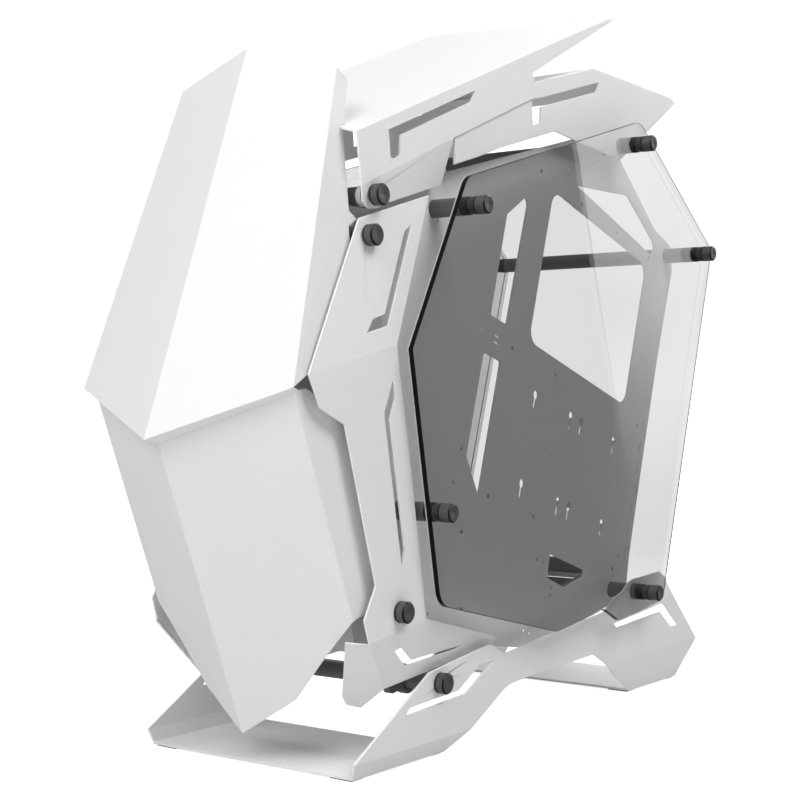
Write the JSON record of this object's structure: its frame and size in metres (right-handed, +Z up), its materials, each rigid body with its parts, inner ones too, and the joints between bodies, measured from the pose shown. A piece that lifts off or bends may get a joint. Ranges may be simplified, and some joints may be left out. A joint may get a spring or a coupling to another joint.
{
  "type": "computer case",
  "caption": "Open-frame computer case: folded sheet covers, wings and base, a tilted board tray and tinted glass sides held on black tie rods with knobs.",
  "frame": {"origin": "centre of the outer box on the floor plane", "axes": "+Z up, -Y towards the pointed front covers, +X towards the side whose glass covers the board tray"},
  "size_m": [0.2536, 0.638, 0.6],
  "materials": {
    "white_sheet": "fine textured white powder coat, satin",
    "inner_sheet": "smooth white powder coat, satin",
    "tinted_glass": "grey tinted toughened glass, polished edges",
    "black_rod": "black coated bar, satin",
    "black_knob": "black anodised, turned",
    "black_rubber": "matt black rubber",
    "white_plastic": "moulded white plastic",
    "brass_standoff": "turned brass",
    "screw_steel": "zinc plated steel"
  },
  "bodies": {
    "root": {"armour_far": "white_sheet", "armour_near": "white_sheet", "base_frame": "white_sheet", "board_standoffs": "brass_standoff", "brace_link_far": "black_rod", "brace_link_near": "black_rod", "cover_pegs": "inner_sheet", "foot_pads": "black_rubber", "foot_rod": "black_rod", "frame_knobs": "black_knob", "front_frame": "inner_sheet", "front_lower_cover": "white_sheet", "front_upper_cover": "white_sheet", "glass_far": "tinted_glass", "glass_knobs": "black_knob", "glass_near": "tinted_glass", "glass_rod_front_lower": "black_rod", "glass_rod_front_upper": "black_rod", "glass_rod_rear_lower": "black_rod", "glass_rod_rear_upper": "black_rod", "glass_rod_top": "black_rod", "glass_spacers": "black_rubber", "lower_armour_rod": "black_rod", "rear_cross_rod": "black_rod", "rear_slot_bracket": "inner_sheet", "supply_bracket": "inner_sheet", "top_front_wing": "white_sheet", "top_rear_hood": "white_sheet", "tray": "inner_sheet", "tray_screws": "screw_steel", "upper_armour_rod": "black_rod", "wing_rod": "black_rod", "wing_spacers": "white_plastic"}
  },
  "joints": []
}
